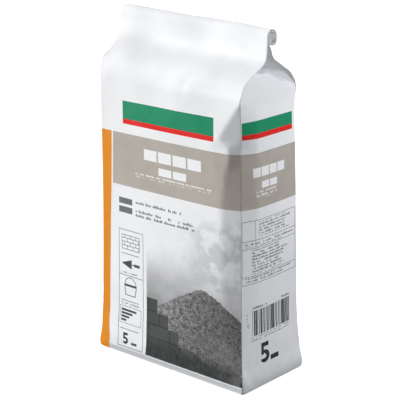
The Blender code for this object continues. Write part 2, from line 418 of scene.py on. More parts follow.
CREASES = (
    (15, 247, 19, 273, 2.4, -0.22), (19, 273, 32, 290, 3, -0.24), (141, 291, 158, 274, 2.6, -0.3),
    (88, 22, 98, 4, 2.4, -0.9), (70, 16, 83, 6, 2.2, -0.8), (96, 30, 86, 12, 2.4, 0.8),
    (150, 46, 160, 20, 2.6, -0.6), (-84, 60, -72, 40, 2.6, -0.4), (-82, 26, -70, 8, 2.4, -0.5),
    (-92, 262, -104, 240, 2.6, -0.6), (-150, 268, -140, 244, 2.6, -0.6),
)

# The front corner at the right gives way: height, where on the front wall the paper starts to slope
# and how deep that slope gets, then where the turn starts and how far it takes the corner in. The
# dent at the shoulder is where the turn's start steps out and in again. How softly the turn starts:
# two heights, and the share of it that is soft below the first and above the second
TURN = (
    (8, 79, 0, 79, 0), (20, 73, 0, 73, 0.8), (60, 62, 0, 62, 3.6), (120, 59, 0, 59, 6.2),
    (170, 57.5, 0, 57.5, 7.4), (200, 56, 0.2, 62, 6.9), (212, 52, 1, 68.5, 7.4),
    (222, 51, 1.8, 69.5, 7.7), (228.6, 57.5, 0, 58.2, 8.5), (231, 58.2, 0, 58.8, 7.9),
    (242.5, 66, 0, 66.8, 5.4), (264, 83, 0, 83.4, 0.6), (275, 84, 0, 84.1, 0), (420, 84, 0, 84.1, 0),
)
TURN_SOFT = (205, 222, 0.3, 0.08)
TURN_REACH_SIDE = 22
DENT_WAY = np.array((-0.66, 0.75, 0))

# How far the left end has sunk and spread over its foot, by height
LEFT_SPREAD = ((0, 0.9), (12, 0.8), (22, 1.4), (34, 2.3), (58, 2.3), (106, 1), (160, 0))

# How the flattened mouth sways from front to back and dips: reach in millimetres, turns and shift. Its
# left end stands in a little
SWAY_RISE = (284 * MM, 306 * MM)
SWAY = ((0.7, 3.4, 0.6), (0.35, 9.1, 0))
DIP = ((0.3, 4.7, -0.9), (0.14, 12.7, 0))
FIN_SHORTER = 1.3


def fold_shape(across, up, line, left, right):
    """The distance from a line with two ends, in reaches to the left and to the right of it."""
    way = np.subtract(line[2:], line[:2])
    length = float(np.hypot(*way))
    across, up = across - line[0], up - line[1]
    along, aside = (across * way[0] + up * way[1]) / length, (across * way[1] - up * way[0]) / length
    beyond = np.maximum(0, np.maximum(-along, along - length))
    return np.hypot(aside / np.where(aside < 0, left, right), beyond / min(left, right))


def waves(points, size, seed):
    """Smooth random waves of a size in metres, from about -1 to 1."""
    rows, columns = points.shape[:2]
    shift = Vector((seed, -seed, 0.5 * seed))
    flat = [noise.noise(Vector(point) / size + shift) for point in points.reshape(-1, 3).tolist()]
    return 2 * np.array(flat).reshape(rows, columns)


def relief(points, round_it, up_it):
    """How far each point of the sheet stands out from the plainly folded sack, in metres."""
    across, up = round_it[None, :] / MM, up_it[:, None] / MM
    either_way = np.abs(across)
    free = 1 - share_between(points[:, :, 2], *FREE_PAPER)
    low = share_between(up, *CROWN_RISE) * (1 - share_between(up, *CROWN_FADE))
    from_middle = np.minimum(either_way, np.abs(either_way - BACK_SEAM / MM)) / (HALF_FRONT / MM)
    from_middle = np.minimum(from_middle, 1)
    from_side = np.abs(either_way - SIDE_MIDDLE / MM) / (HALF_GUSSET / MM)
    out = CROWN * low * np.where(from_side < 1, 1 - from_side ** 2, 1 - from_middle ** 2)
    for centre, height, reach, reach_up, depth in SOFT_SPOTS:
        out = out + depth * np.exp(-((across - centre) / reach) ** 2 - ((up - height) / reach_up) ** 2)
    for *line, left, right, depth in SOFT_FOLDS:
        out = out + depth * np.exp(-fold_shape(across, up, line, left, right) ** 2)
    for *line, reach, depth in CREASES:
        out = out + depth * np.exp(-fold_shape(across, up, line, reach, reach))
    off_base = share_between(up, 4, 24)
    off_corner = np.minimum(np.abs(either_way - HALF_FRONT / MM), np.abs(either_way - BACK_CORNER / MM))
    off_corner = np.minimum(1, off_corner / 9)
    out = out + WALL_WAVES * waves(points, WALL_WAVE_SIZE, 3.1) * off_base * off_corner
    shoulder = share_between(up, *SHOULDER_RISE)
    ridges = 0.7 - 2 * np.abs(waves(points, SHOULDER_WAVE_SIZE, 7.7))
    out = out + SHOULDER_WAVES * ridges * shoulder * off_corner
    return out * free * share_between(up, 0, 6) * MM


def corner_dent(round_it, up_it):
    """How far the corner at the right of the front is pushed in, in metres."""
    beyond, up = round_it[None, :] / MM - HALF_FRONT / MM, up_it[:, None] / MM
    heights, slopes, slope_depths, starts, depths = (np.array(column) for column in zip(*TURN))
    start, slope = np.interp(up, heights, starts), np.interp(up, heights, slopes)
    softness = mix(*TURN_SOFT[2:], share_between(up, *TURN_SOFT[:2]))
    share = np.clip(1 + beyond / (HALF_FRONT / MM - start), 0, 1)
    soft = np.where(share < softness, 0.5 * share * share / softness, share - 0.5 * softness)
    on_front = soft / (1 - 0.5 * softness)
    sloping = np.clip((round_it[None, :] / MM - slope) / np.maximum(start - slope, 0.5), 0, 1)
    on_side = np.clip(1 - beyond / TURN_REACH_SIDE, 0, 1) ** 1.15
    first, turned = np.interp(up, heights, slope_depths), np.interp(up, heights, depths)
    return np.where(beyond < 0, first * sloping + turned * on_front, (first + turned) * on_side) * MM


def left_flare(points):
    """The left end has sunk and spread a little over its foot."""
    heights, widths = (np.array(column) * MM for column in zip(*LEFT_SPREAD))
    spread = np.interp(points[:, :, 2], heights, widths)
    points[:, :, 0] += spread * np.minimum(0, points[:, :, 0]) / HALF_FRONT


def fin_sway(points):
    """The flattened mouth isn't quite straight: all its layers swing and dip together."""
    along = points[:, :, 0] / FIN_HALF_WIDTH
    share = share_between(points[:, :, 2], *SWAY_RISE)
    points[:, :, 0] -= share * FIN_SHORTER * (1 - along) * MM
    for axis, swings in ((1, SWAY), (2, DIP)):
        moved = sum(reach * np.sin(turns * along + shift) for reach, turns, shift in swings)
        points[:, :, axis] += share * moved * MM


def read_out(items, name, width=1, kind=int):
    """One property of all vertices, corners or faces of a mesh."""
    values = np.zeros(len(items) * width, dtype=kind)
    items.foreach_get(name, values)
    return values


def folded_grid(name, points):
    """A flat grid, its points taken to their folded places, with the row and column of each."""
    rows, columns = points.shape[:2]
    bpy.ops.object.select_all(action="DESELECT")
    bpy.ops.mesh.primitive_grid_add(x_subdivisions=columns - 1, y_subdivisions=rows - 1, size=1)
    folded = bpy.context.object
    folded.name = name
    mesh = folded.data
    mesh.name = name
    flat = read_out(mesh.vertices, "co", 3, float).reshape(-1, 3)
    column = np.rint((flat[:, 0] + 0.5) * (columns - 1)).astype(int)
    row = np.rint((flat[:, 1] + 0.5) * (rows - 1)).astype(int)
    mesh.vertices.foreach_set("co", points[row, column].ravel())
    mesh.update()
    return folded, row, column


def new_plane(name, size=1, height=0):
    """A level square round the origin."""
    bpy.ops.object.select_all(action="DESELECT")
    bpy.ops.mesh.primitive_plane_add(size=size, location=(0, 0, height))
    plane = bpy.context.object
    plane.name = name
    return plane


def cement_powder(points, round_it):
    """The powder that fills the sack, just clear of the paper, and ends in a long heap at the top."""
    inside = points - sheet_normals(points) * POWDER_CLEARANCE
    middle = points[:, np.searchsorted(round_it, 0), 2]
    rows = [row for row in range(BOTTOM_ROW, len(points)) if middle[:row + 1].max() < POWDER_SHOULDER]
    tube = list(inside[rows][:, round_it < BACK_SEAM - 0.5 * MM])
    last, centre = tube[-1], tube[-1].mean(axis=0)
    for angle in np.radians(np.arange(10, 81, 10)):
        narrower = np.array((1 - POWDER_END_SLOPE * (1 - math.cos(angle)), math.cos(angle), 1))
        higher = np.array((0, 0, POWDER_HEAP * math.sin(angle)))
        tube.append(centre + (last - centre) * narrower + higher)
    tube = np.array(tube)
    heap = folded_grid("cement_powder_heap", np.concatenate([tube, tube[:, :1]], axis=1))[0]
    bpy.ops.object.mode_set(mode="EDIT")
    bpy.ops.mesh.select_all(action="SELECT")
    bpy.ops.mesh.remove_doubles(threshold=0.01 * MM)
    bpy.ops.mesh.select_all(action="SELECT")
    bpy.ops.mesh.fill_holes(sides=0)
    bpy.ops.mesh.select_all(action="SELECT")
    bpy.ops.mesh.normals_make_consistent(inside=False)
    bpy.ops.object.mode_set(mode="OBJECT")
    return heap


def paper_mesh(name, points, round_it, up_it):
    """The folded sheet, with its places in the flat as its own map, and a material for each wall."""
    sack, row, column = folded_grid(name, points)
    mesh = sack.data
    loops = read_out(mesh.loops, "vertex_index")
    places = np.column_stack([round_it[column[loops]], up_it[row[loops]]])
    mesh.uv_layers[0].name = "sheet"
    mesh.uv_layers[0].data.foreach_set("uv", places.ravel())
    starts = read_out(mesh.polygons, "loop_start")
    distance = np.abs(0.5 * (places[starts, 0] + places[starts + 2, 0]))
    wall = np.searchsorted([HALF_FRONT, BACK_CORNER], distance)
    mesh.polygons.foreach_set("material_index", wall)
    mesh.update()
    return sack


def give_thickness(piece, name):
    """The paper's thickness, half to each side of its middle."""
    wall = piece.modifiers.new(name, "SOLIDIFY")
    wall.thickness = PAPER
    wall.offset = 0
    bpy.ops.object.modifier_apply(modifier=wall.name)


def paper_sack():
    """The sack's skin and the powder in it. The lap at the back lies on the wall that it is glued to."""
    points, round_it, up_it = folded_sheet()
    points += sheet_normals(points) * relief(points, round_it, up_it)[:, :, None]
    points += corner_dent(round_it, up_it)[:, :, None] * DENT_WAY
    left_flare(points)
    fin_sway(points)
    heap = cement_powder(points, round_it)
    lap = round_it > BACK_SEAM
    points[:, lap] += sheet_normals(points)[:, lap] * LAP_LIFT * PAPER
    sack = paper_mesh("paper_sack_skin", points, round_it, up_it)
    give_thickness(sack, "paper_thickness")
    sack.data.shade_smooth()
    return sack, heap


def bottom_patch():
    """The plain sheet pasted over the folded bottom."""
    patch = new_plane("bottom_patch", height=0.5 * PAPER)
    patch.scale = (2 * PATCH_HALF_WIDTH, 2 * PATCH_HALF_DEPTH, 1)
    bpy.ops.object.transform_apply(location=True, rotation=True, scale=True)
    bpy.ops.object.mode_set(mode="EDIT")
    bpy.ops.mesh.select_all(action="SELECT")
    bpy.ops.mesh.bevel(offset=PATCH_CORNER, segments=4, affect="VERTICES")
    bpy.ops.object.mode_set(mode="OBJECT")
    give_thickness(patch, "patch_thickness")
    return patch


class Value:
    """A number that a material works out at each point. Plain arithmetic on it adds the nodes."""

    def __init__(self, socket):
        self.socket = socket
        self.tree = socket.id_data

    def math(self, operation, *others):
        node = self.tree.nodes.new("ShaderNodeMath")
        node.operation = operation
        for place, given in enumerate((self, *others)):
            connect(given, node.inputs[place])
        return Value(node.outputs[0])

    def __add__(self, other):
        return self.math("ADD", other)

    def __sub__(self, other):
        return self.math("SUBTRACT", other)

    def __mul__(self, other):
        return self.math("MULTIPLY", other)

    def over(self, limit):
        return self.math("GREATER_THAN", limit)

    def under(self, limit):
        return self.math("LESS_THAN", limit)

    def near(self, centre, reach):
        """1 within a reach of the centre, 0 elsewhere."""
        return self.math("COMPARE", centre, reach)

    def between(self, low, high):
        return self.near(0.5 * (low + high), 0.5 * (high - low))

    def either(self, other):
        return self.math("MAXIMUM", other)

    def cells(self, size):
        """The number of the cell of a size that this lies in, and how far into it, from 0 to 1."""
        steps = self * (1 / size)
        return steps.math("FLOOR"), steps.math("FRACT")

    def ease(self, low, high, start=0, end=1):
        """From start at low to end at high, smoothly, and level outside them."""
        node = self.tree.nodes.new("ShaderNodeMapRange")
        node.interpolation_type = "SMOOTHSTEP"
        fill_in(node, {"Value": self, "From Min": low, "From Max": high, "To Min": start, "To Max": end})
        return Value(node.outputs["Result"])


def connect(given, socket):
    """A node's input takes a worked-out value, or a plain number or colour."""
    if isinstance(given, Value):
        given.tree.links.new(given.socket, socket)
    else:
        socket.default_value = given


def fill_in(node, inputs):
    """Connects or sets several inputs of a node by name."""
    for name, given in inputs.items():
        connect(given, node.inputs[name])


def new_node(tree, kind, **inputs):
    node = tree.nodes.new(kind)
    fill_in(node, inputs)
    return node


def any_of(*shapes):
    """1 where one or more of the shapes are 1."""
    total = shapes[0]
    for shape in shapes[1:]:
        total = total.either(shape)
    return total


def point_at(x, y):
    return Value(new_node(x.tree, "ShaderNodeCombineXYZ", X=x, Y=y).outputs["Vector"])


def cloud(place, scale, detail=2, roughness=0.5):
    """Soft noise from 0 to 1 at a place, which is a vector."""
    node = new_node(place.tree, "ShaderNodeTexNoise",
                    Vector=place, Scale=scale, Detail=detail, Roughness=roughness)
    return Value(node.outputs["Fac"])


def chance(x, y):
    """A fixed random number from 0 to 1 for each whole x and y."""
    node = x.tree.nodes.new("ShaderNodeTexWhiteNoise")
    node.noise_dimensions = "2D"
    connect(point_at(x, y), node.inputs["Vector"])
    return Value(node.outputs["Value"])


def grains(place, scale):
    """The distance to the nearest of many scattered specks."""
    node = new_node(place.tree, "ShaderNodeTexVoronoi", Vector=place, Scale=scale)
    return Value(node.outputs["Distance"])


def blend(share, first, second):
    """A colour that goes from first to second with share."""
    node = share.tree.nodes.new("ShaderNodeMix")
    node.data_type = "RGBA"
    connect(share, node.inputs["Factor"])
    colours = [socket for socket in node.inputs if socket.type == "RGBA"]
    connect(first, colours[0])
    connect(second, colours[1])
    return Value(next(socket for socket in node.outputs if socket.type == "RGBA"))


def bump(height, strength, distance):
    """A normal from a height between 0 and 1 that stands for a distance."""
    node = new_node(height.tree, "ShaderNodeBump", Height=height, Strength=strength, Distance=distance)
    return Value(node.outputs["Normal"])


def ink(red, green, blue):
    """A printed colour, given as it would be on a screen, from 0 to 255."""
    parts = [part / 255 for part in (red, green, blue)]
    light = [part / 12.92 if part <= 0.04045 else ((part + 0.055) / 1.055) ** 2.4 for part in parts]
    return (*light, 1)


PAPER_WHITE = ink(240, 241, 243)
PAPER_SHADE = ink(233, 235, 238)
BARE_FIBRE = ink(222, 221, 218)
HAZE_INK = ink(172, 176, 182)
# Painted shade: the grey that darkens the paper along the foot of the sack
FOOT_PAINTED_SHADE = ink(174, 177, 181)
ORANGE = ink(222, 136, 0)
TAUPE = ink(180, 173, 164)
TAUPE_SHADE = ink(173, 166, 157)
GREEN = ink(0, 134, 94)
RED = ink(222, 26, 18)
DARK_INK = ink(58, 61, 66)
BLACK_INK = ink(22, 25, 26)
GREY_INK = ink(104, 108, 112)
POWDER_DARK = ink(118, 118, 114)
POWDER_PALE = ink(150, 150, 146)

# The print. Places on a wall are in millimetres from its upright middle and from the bottom of the
# sack, and boxes are left, bottom, right, top
BAND = (167.4, 217)
STRIPE = (-98, -74.4)
STRIPE_LEAN = ((80, 260, 4.5), (26, 6, 1))
STRIPE_GAP = 1.8
BANNER_STRIPE = 4.6
LINE = 0.55
THIN_LINE = 0.4

FRONT_BANNER = (-55.7, 226, 53.6, 247.2)
FRONT_TITLE = ((-29.4, 196.4, 4, 15.7, 10), (-11.6, 184.4, 2, 15.7, 7.2))
FRONT_FINE_LINE = (-40.6, 178.8, 51, 182.6)
HAZE = (10, 90, 84.1, BAND[0])
SIGN_BARS = ((-62.5, 149.8, -45.2, 155.6), (-62.5, 141.2, -45.2, 147.2))
SIGN_LINES = ((-41.2, 152, 17, 156.1), (-41.2, 143.8, 29, 147.9), (-41.2, 139.7, 32.5, 143.8))
ICON_FRAME = (-63, 7.9, -31.8, 124.9)
ICON_RULES = ((-60.4, 101, -37.4, 101.6), (-62.8, 79.6, -32, 80.2), (-60.4, 54.2, -37.4, 54.8),
              (-60.4, 25.4, -37.4, 26))
ICON_LINES = ((-59.6, 81.4, -37.4, 84.2), (-59.6, 49.6, -37.4, 52.4))
BRICK_SIGN = (-59.4, 105.6, -36.4, 120)
BRICK_HEIGHT = 3.6
TROWEL_TIP = (-59.6, 91.6)
TROWEL_HANDLE = ((-46.5, 91.1, -43.2, 92.1), (-43.4, 90.2, -36.4, 93))
BUCKET_MIDDLE = (-48.2, 60)
BUCKET_HEIGHT = 11.4
ICON_LABEL = (-61.4, 31.4, -34.6, 48.6)
LABEL_BARS = ((-59.6, 43.8, -40.6, 46), (-59.6, 40.4, -45.6, 42.6), (-59.6, 37, -49.6, 39.2),
              (-59.6, 33.6, -53, 35.8))
FRONT_NUMBER = (-56.6, 10.8, 11.2)
FRONT_UNIT = (-46.2, 11.6, -39.4, 14)

# The grey picture: the top of its heap, its blocks, and the steps of their stack
PICTURE = (-27.8, 7.2, 84.1, 160)
HEAP_TOP = (40, 92)
BLOCK_HEIGHT = 13
BLOCK_LENGTH = 26
BLOCK_STACK = ((-27.8, 7.2, 24.5, 26), (-27.8, 26, 11.5, 39), (-27.8, 39, -1.5, 52),
               (-27.8, 52, -14.5, 65))

SIDE_BANNER = (-37.5, 229.6, 33.9, 245.4)
SIDE_TITLE = ((-23.4, 195.4, 4, 10.1, 8.4), (-11.7, 184.6, 2, 10.1, 6.2))
SIDE_FINE_LINES = (-19, 175.8, 19, 182.6)
TABLE = (-37.7, 99.4, 36.3, 157)
TABLE_RULES = ((-37.7, 138.8, 36.3, 139.2), (-37.7, 131.6, 36.3, 132), (-37.7, 106.4, 36.3, 106.8),
               (-20.2, 139, -19.8, 157))
TABLE_TEXT = ((-15.7, 141.4, 32.3, 155.4), (-35.2, 133, 34.3, 138.2), (-24.7, 108, 25.3, 130.4),
              (-34.7, 100.4, 33.3, 105.6))
BARCODE = (-25, 50.4, 26.6, 74)
BAR_WIDTH = 2.1
BARCODE_LINES = ((-25, 75, -5.7, 78.4), (15.3, 75, 26.6, 78.4), (-26.7, 45.8, 27.3, 49.2))
UPRIGHT_LINE = (57, -32.1, 73, -29.3)
SIDE_NUMBER = (-14.6, 21.6, 19.2)
SIDE_UNIT = (-2.2, 21.6, 8.2, 26)

BACK_BANNER = (-54.6, 226, 54.6, 247.2)
BACK_TITLE = ((-35, 196.4, 4, 15.7, 10), (-17.2, 184.4, 2, 15.7, 7.2))
BACK_BLOCKS = [(left, top) for left in (-73, 5) for top in (155.8, 114.8, 73.8)]
BACK_HEADS = [(left, top - 4.1, left + 34, top) for left, top in BACK_BLOCKS]
BACK_TEXT = [(left, top - 34, left + 68, top - 6) for left, top in BACK_BLOCKS]

# The made-up marks that stand for text: the step from line to line, and a mark's width with its gap
BOLD_MARKS = (4.1, 1.75)
FINE_MARKS = (2.8, 0.95)
CODE_MARKS = (3.4, 1.3)


class Wall:
    """The material's places on one wall, in millimetres, and the shapes printed there.

    A shape is 1 inside and 0 outside.
    """

    def __init__(self, sheet, round_it, across, up_it):
        self.sheet = sheet
        self.round = round_it
        self.across = across
        self.up = up_it

    def box(self, left, bottom, right, top):
        return self.across.between(left, right) * self.up.between(bottom, top)

    def boxes(self, places):
        return any_of(*[self.box(*place) for place in places])

    def frame(self, place, line):
        """The outline of a box."""
        left, bottom, right, top = place
        return self.box(*place) - self.box(left + line, bottom + line, right - line, top - line)

    def courses(self, rows):
        """Rows of plain bricks, each given by its left end, bottom, number, length and height."""
        shapes = []
        for left, bottom, count, length, height in rows:
            step = length * 1.12
            inside = (self.across - left).cells(step)[1].under(length / step)
            shapes.append(inside * self.box(left, bottom, left + count * step, bottom + height))
        return any_of(*shapes)

    def disc(self, x, y, radius):
        aside, above = self.across - x, self.up - y
        return (aside * aside + above * above).under(radius * radius)

    def brick_sign(self, place):
        """A little wall of bricks in outline."""
        row, in_row = (self.up - place[1]).cells(BRICK_HEIGHT)
        along = (self.across - place[0]) * (0.5 / BRICK_HEIGHT) + (row * 0.5).math("FRACT")
        joints = in_row.under(0.16).either(along.math("FRACT").under(0.08))
        return (joints * self.box(*place)).either(self.frame(place, LINE))

    def trowel_sign(self, tip, handle):
        """A trowel on its side, its pointed blade to the left."""
        x, y = tip
        blade = (self.up - y).math("ABSOLUTE") - (self.across - x) * 0.36
        blade = blade.under(0) * self.box(x, y - 6, x + 13, y + 6)
        return blade.either(self.boxes(handle))

    def bucket_sign(self, middle, height):
        """A bucket in outline with its handle up."""
        x, y = middle
        wall = (self.across - x).math("ABSOLUTE") - (self.up - y) * 0.14
        body = wall.under(6.4) * self.up.between(y, y + height)
        hollow = wall.under(5.6) * self.up.between(y + 0.8, y + height - 2.2)
        handle = self.disc(x, y + height, 7.2) - self.disc(x, y + height, 6.5)
        return (body - hollow).either(handle * self.up.over(y + height))

    def number_five(self, left, bottom, height):
        """A plain upright 5: a bowl, a bar and a stem."""
        line, bowl = 0.215 * height, 0.31 * height
        x, y = left + 0.26 * height, bottom + bowl
        start, top = left + 0.02 * height, bottom + height
        ring = self.disc(x, y, bowl) - self.disc(x, y, bowl - line)
        ring = ring * (self.box(left - height, y - 0.1 * height, x, y + 0.16 * height) * -1 + 1)
        bar = self.box(start, top - line, left + 0.52 * height, top)
        return any_of(ring, bar, self.box(start, y + 0.1 * height, start + 0.8 * line, top))

    def marks(self, size, places, ragged=0):
        """Lines of small marks without any meaning, which look like fine print from afar.

        ragged is how much of a place's width its lines may fall short by.
        """
        row, in_row = self.up.cells(size[0])
        cell, in_cell = self.across.cells(size[1])
        mark_top = chance(cell, row).ease(0.6, 0.7, 0.66, 0.9)
        mark = in_row.over(0.26) * (mark_top - in_row).over(0) * in_cell.under(0.68)
        mark = mark * cloud(point_at(cell * 0.37, row * 3.7), 1, 0).over(0.4)
        blocks = [self.box(*place) for place in places]
        if ragged:
            shorter = chance(row, row + 7) * ragged
            ends = [shorter * (right - left) + self.across - right for left, bottom, right, top in places]
            blocks = [block * end.under(0) for block, end in zip(blocks, ends)]
        return mark * any_of(*blocks)

    def bars(self, place, width):
        """Upright bars of uneven width, which stand for a scanning code and hold no number."""
        cell, in_cell = self.across.cells(width)
        bar = chance(cell, cell + 31) * 0.66 + 0.26
        return (bar - in_cell).over(0) * self.box(*place)


def wall_places(tree, wall):
    """Places on the flat sheet, told from the middle of one wall. Both sides are one wall here."""
    node = tree.nodes.new("ShaderNodeUVMap")
    node.uv_map = "sheet"
    sheet = Value(node.outputs["UV"])
    parts = new_node(tree, "ShaderNodeSeparateXYZ", Vector=sheet)
    round_it, up_it = (Value(parts.outputs[axis]) * (1 / MM) for axis in "XY")
    middle = {"front": 0, "side": SIDE_MIDDLE / MM, "back": BACK_SEAM / MM}[wall]
    across = round_it - round_it.math("SIGN") * middle if middle else round_it
    return Wall(sheet, round_it, across, up_it)


def printed(colour, *layers):
    """The colour of the paper with layers of ink on it, each its shape and its own colour."""
    for shape, layer in layers:
        colour = blend(shape, colour, layer)
    return colour


def paper_and_bands(wall):
    """What goes all round: the paper with painted shade along its foot, the stripe at its left edge and
    the band under the banner.
    """
    clouds = cloud(wall.sheet, 14, 4, 0.55).ease(0.35, 0.7)
    colour = blend(clouds, PAPER_WHITE, PAPER_SHADE)
    uneven = cloud(wall.sheet, 90, 4, 0.6)
    # Painted shade along the foot: the paper greys towards the bottom, less on the sides, and a fainter
    # fade reaches higher up
    low_painted_shade = (uneven * 3 + wall.up).ease(6.6, 9.6, 0.85, 0)
    high_painted_shade = (uneven * 16 + wall.up).ease(8, 30, 0.4, 0)
    on_side = wall.round.math("ABSOLUTE").between(HALF_FRONT / MM, BACK_CORNER / MM)
    dust = (low_painted_shade * (on_side * -0.8 + 1)).either(high_painted_shade)
    leaning = wall.round
    for low, high, shift in STRIPE_LEAN:
        leaning = leaning - wall.up.ease(low, high, 0, shift)
    beside = leaning.between(STRIPE[0] - STRIPE_GAP, STRIPE[1] + STRIPE_GAP) * -1 + 1
    mottle = cloud(wall.sheet, 55, 3).ease(0.3, 0.7)
    # The foot's painted shade goes on first, and is weaker on the rounded bottom edge itself
    return printed(colour, (dust * wall.up.ease(0.5, 4.5, 0.1, 1), FOOT_PAINTED_SHADE),
                   (leaning.between(*STRIPE) * wall.up.under(BAND[1]), ORANGE),
                   (wall.up.between(*BAND) * beside, blend(mottle, TAUPE, TAUPE_SHADE)))


def rubbed_folds(wall, colour):
    """The ink is rubbed through here and there along the upright folds."""
    distance = wall.round.math("ABSOLUTE")
    on_fold = distance.near(HALF_FRONT / MM, 0.7).either(distance.near(BACK_CORNER / MM, 0.7))
    patchy = cloud(wall.sheet, 240, 5, 0.7).ease(0.5, 0.62, 0, 0.5)
    return blend(on_fold * patchy, colour, BARE_FIBRE)


def banner(wall, place):
    """The green band at the top of a wall, red along its foot."""
    return (wall.box(*place), GREEN), (wall.box(*place[:3], place[1] + BANNER_STRIPE), RED)


def worksite_picture(wall):
    """How light the grey picture is: a heap of powder beside a stepped stack of blocks, in haze."""
    x, y = wall.across, wall.up
    haze = cloud(wall.sheet, 26, 3).ease(0.25, 0.75, -0.1, 0.1)
    tone = y.ease(48, 124, 0.3, 0.84) + haze

    coarse = cloud(wall.sheet, 240, 6, 0.75)
    rough_edge = cloud(wall.sheet, 120, 4, 0.7) * 9 - 4.5
    from_top = x - HEAP_TOP[0]
    slope = (from_top * from_top + 60).math("SQRT") * -0.58 + HEAP_TOP[1]
    heap = (slope + rough_edge - y).ease(-0.4, 0.6)
    lit = (from_top - y * 0.4).ease(-95, 8, 0.42, 0.1)
    powder = coarse.ease(0.36, 0.66) * lit + grains(wall.sheet, 620).ease(0.15, 0.75) * 0.09
    tone = tone + (powder - tone) * heap

    row, in_row = y.cells(BLOCK_HEIGHT)
    along = x * (1 / BLOCK_LENGTH) + row * 0.5
    joints = along.math("FRACT").under(0.045).either(in_row.under(0.09))
    face = chance(along.math("FLOOR"), row) * 0.04 + coarse * 0.07
    block = face * (joints * -0.75 + 1)
    tone = tone + (block - tone) * wall.boxes(BLOCK_STACK)

    broad = cloud(wall.sheet, 34, 4, 0.6)
    ground = (broad * 22 + 11 - y).ease(-6, 6)
    tone = tone + (coarse.ease(0.35, 0.75, 0, 0.045) - tone) * ground
    dust = (x + y * 0.9).ease(58, 92) * y.ease(52, 30) * broad.ease(0.35, 0.65, 0, 0.8)
    return tone + (coarse * 0.36 - tone) * dust


def front_print(wall, colour):
    """The front: title, grey picture, weight, and a column of signs beside it."""
    title = wall.courses(FRONT_TITLE).either(wall.marks(CODE_MARKS, [FRONT_FINE_LINE]))
    aside = wall.across.ease(-10, 60, 0, 34)
    fade = (cloud(wall.sheet, 48, 4) * 22 + wall.up - aside).ease(104, 134, 1, 0)
    picture = blend(worksite_picture(wall), BLACK_INK, PAPER_WHITE)
    smoke = cloud(wall.sheet, 62, 3, 0.5).ease(0.42, 0.56) * wall.up.ease(BAND[0] - 4, BAND[0] - 30)
    smoke = smoke * wall.box(*HAZE) * wall.across.ease(HAZE[0], 60, 0.1, 0.62)
    dark = any_of(wall.frame(ICON_FRAME, LINE), wall.boxes([*ICON_RULES, *LABEL_BARS, FRONT_UNIT]),
                  wall.frame(ICON_LABEL, THIN_LINE), wall.marks(BOLD_MARKS, SIGN_LINES),
                  wall.brick_sign(BRICK_SIGN), wall.trowel_sign(TROWEL_TIP, TROWEL_HANDLE),
                  wall.bucket_sign(BUCKET_MIDDLE, BUCKET_HEIGHT), wall.marks(FINE_MARKS, ICON_LINES))
    return printed(colour, *banner(wall, FRONT_BANNER), (title, PAPER_WHITE),
                   (wall.box(*PICTURE) * fade, picture), (smoke, HAZE_INK),
                   (wall.boxes(SIGN_BARS), GREY_INK), (dark, DARK_INK),
                   (wall.number_five(*FRONT_NUMBER), BLACK_INK))


def side_print(wall, colour):
    """Both sides: title, a table of marks, a bar pattern and the weight."""
    title = wall.courses(SIDE_TITLE).either(wall.marks(CODE_MARKS, [SIDE_FINE_LINES], 0.3))
    turned = Wall(wall.sheet, wall.round, wall.up, wall.across)
    dark = any_of(wall.frame(TABLE, THIN_LINE), wall.boxes(TABLE_RULES),
                  wall.marks(FINE_MARKS, TABLE_TEXT, 0.3), wall.marks(CODE_MARKS, BARCODE_LINES),
                  turned.marks(FINE_MARKS, [UPRIGHT_LINE]))
    black = any_of(wall.number_five(*SIDE_NUMBER), wall.box(*SIDE_UNIT), wall.bars(BARCODE, BAR_WIDTH))
    return printed(colour, *banner(wall, SIDE_BANNER), (title, PAPER_WHITE), (dark, DARK_INK),
                   (black, BLACK_INK))


def back_print(wall, colour):
    """The back: title, and two columns of marks under their heads."""
    dark = wall.marks(BOLD_MARKS, BACK_HEADS).either(wall.marks(FINE_MARKS, BACK_TEXT, 0.35))
    return printed(colour, *banner(wall, BACK_BANNER), (wall.courses(BACK_TITLE), PAPER_WHITE),
                   (dark, DARK_INK))


def new_material(name):
    """A new material and its shader."""
    finish = bpy.data.materials.new(name)
    finish.use_nodes = True
    return finish, finish.node_tree.nodes["Principled BSDF"]


def object_places(finish):
    return Value(finish.node_tree.nodes.new("ShaderNodeTexCoord").outputs["Object"])


def paper_material(wall_name, wall_print):
    """White sack paper: a little uneven, faintly fibrous and satin."""
    finish, shader = new_material("sack_paper_" + wall_name)
    wall = wall_places(finish.node_tree, wall_name)
    fibres = cloud(wall.sheet, 1500, 3, 0.65) * 0.1 + cloud(wall.sheet, 160, 4, 0.55)
    fill_in(shader, {"Base Color": rubbed_folds(wall, wall_print(wall, paper_and_bands(wall))),
                     "Roughness": cloud(wall.sheet, 60, 4, 0.6).ease(0.3, 0.7, 0.6, 0.76),
                     "Specular IOR Level": 0.18, "Normal": bump(fibres, 0.5, 0.35 * MM)})
    return finish


def plain_paper_material():
    """The unprinted paper of the pasted patch."""
    finish, shader = new_material("plain_sack_paper")
    place = object_places(finish)
    clouds = cloud(place, 40, 4, 0.6)
    fibres = cloud(place, 1500, 3, 0.65) * 0.2 + clouds
    fill_in(shader, {"Base Color": blend(clouds.ease(0.35, 0.7), PAPER_WHITE, PAPER_SHADE),
                     "Roughness": 0.7, "Normal": bump(fibres, 0.5, 0.3 * MM)})
    return finish


def powder_material():
    """Dry grey powder: matt, with soft lumps and paler dust between them."""
    finish, shader = new_material("grey_cement_powder")
    place = object_places(finish)
    lumps = cloud(place, 90, 5, 0.6)
    grit = lumps + cloud(place, 900, 3, 0.7) * 0.15
    fill_in(shader, {"Base Color": blend(lumps.ease(0.35, 0.65), POWDER_DARK, POWDER_PALE),
                     "Roughness": 0.95, "Normal": bump(grit, 0.6, 1.2 * MM)})
    return finish


# The floor, its own glow, and how strong the sky is: from its lowest to its highest direction
FLOOR_SIZE = 60
FLOOR_GLOW = 0.72
SKY = (-0.4, 0.4, 0.13, 0.29)

